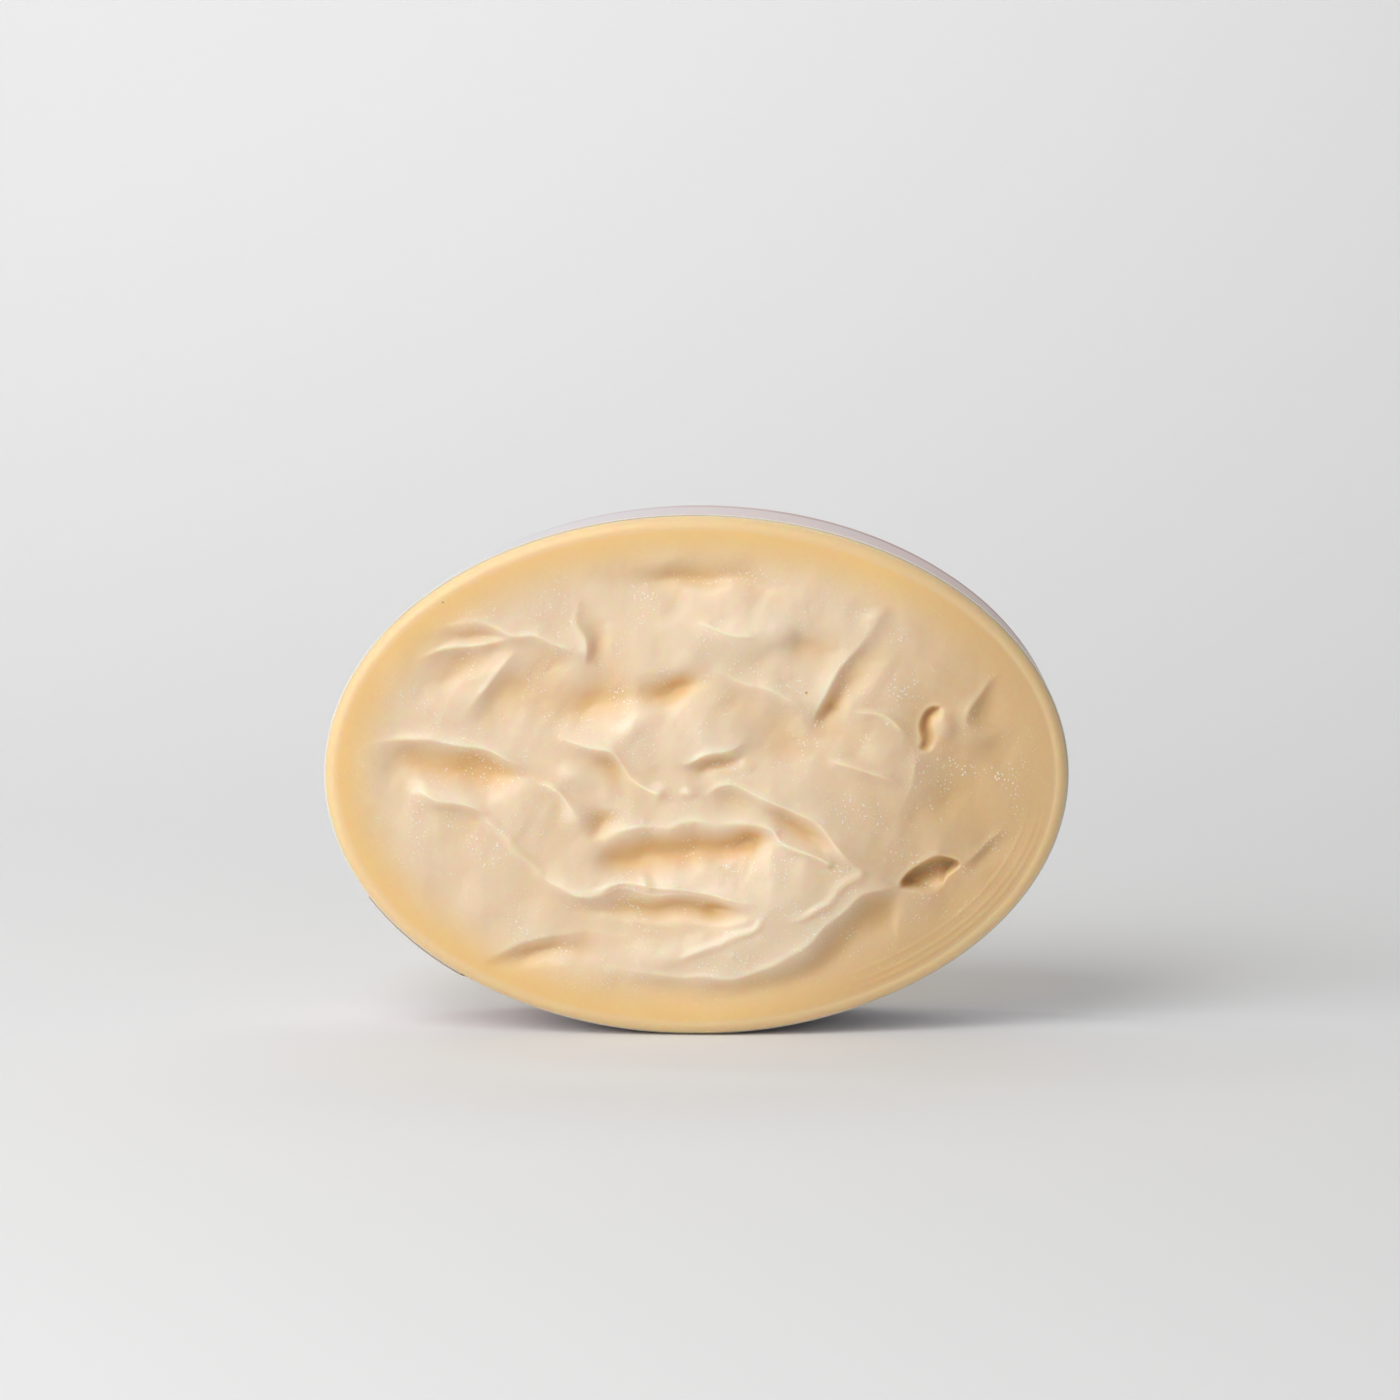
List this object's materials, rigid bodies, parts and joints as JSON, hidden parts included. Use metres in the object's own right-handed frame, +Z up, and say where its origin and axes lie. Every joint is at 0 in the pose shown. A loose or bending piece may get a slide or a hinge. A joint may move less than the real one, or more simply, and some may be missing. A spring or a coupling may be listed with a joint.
{
  "type": "shaving soap puck",
  "caption": "Oval cast soap bar with a hand-swirled poured face and a glued paper band round its edge, standing on its long side.",
  "frame": {"origin": "on the surface the bar stands on, under the middle of its box", "axes": "+Z up, +X along the bar's long axis, +Y through its thickness from the swirled face to the flat back"},
  "size_m": [0.0908, 0.025, 0.0638],
  "materials": {
    "soap": "waxy, slightly translucent, satin",
    "printed_paper": "uncoated printed paper",
    "glue": "dried glue"
  },
  "bodies": {
    "puck": {"soap_puck": "soap"},
    "band": {"paper_band": "printed_paper", "band_glue": "glue"}
  },
  "joints": [
    {"name": "band_slide", "type": "slide", "parent": "puck", "child": "band", "axis": [0, 1, 0], "range_m": [-0.024, 0.0225]}
  ]
}
